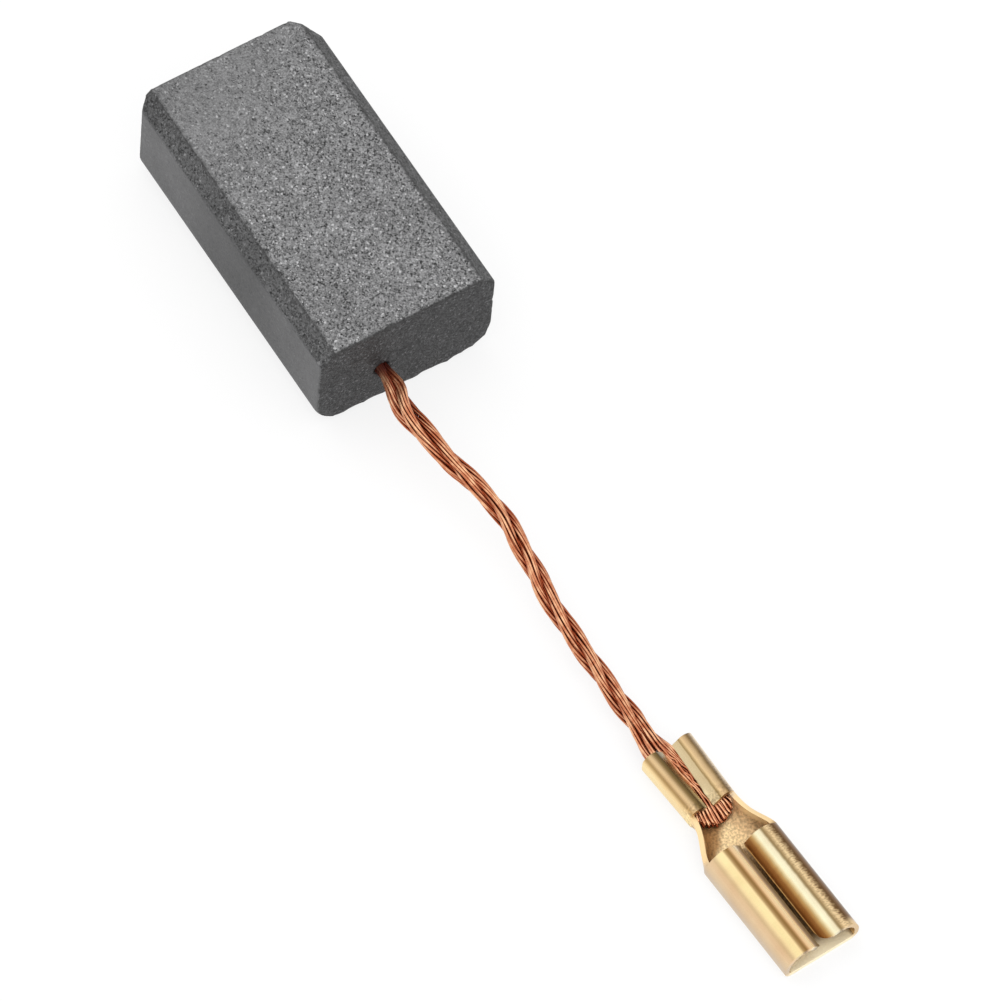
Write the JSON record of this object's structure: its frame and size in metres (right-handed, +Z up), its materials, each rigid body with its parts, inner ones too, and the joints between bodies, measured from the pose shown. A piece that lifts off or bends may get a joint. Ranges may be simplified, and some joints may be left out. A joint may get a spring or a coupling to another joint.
{
  "type": "carbon brush",
  "caption": "Rectangular carbon brush block with a bare stranded copper shunt that ends in a folded brass push-on receptacle.",
  "frame": {"origin": "middle of the carbon block's underside, on the surface it lies on", "axes": "+X from the contact face along the block towards the terminal, +Y across the block's width, +Z up through its thickness"},
  "size_m": [0.0439, 0.008, 0.0052],
  "materials": {
    "carbon_block": "matt pressed carbon and graphite, finely speckled",
    "shunt": "bright bare copper strands",
    "terminal": "rolled brass sheet, bright"
  },
  "bodies": {
    "root": {"carbon_block": "carbon_block", "shunt": "shunt", "terminal": "terminal"}
  },
  "joints": []
}
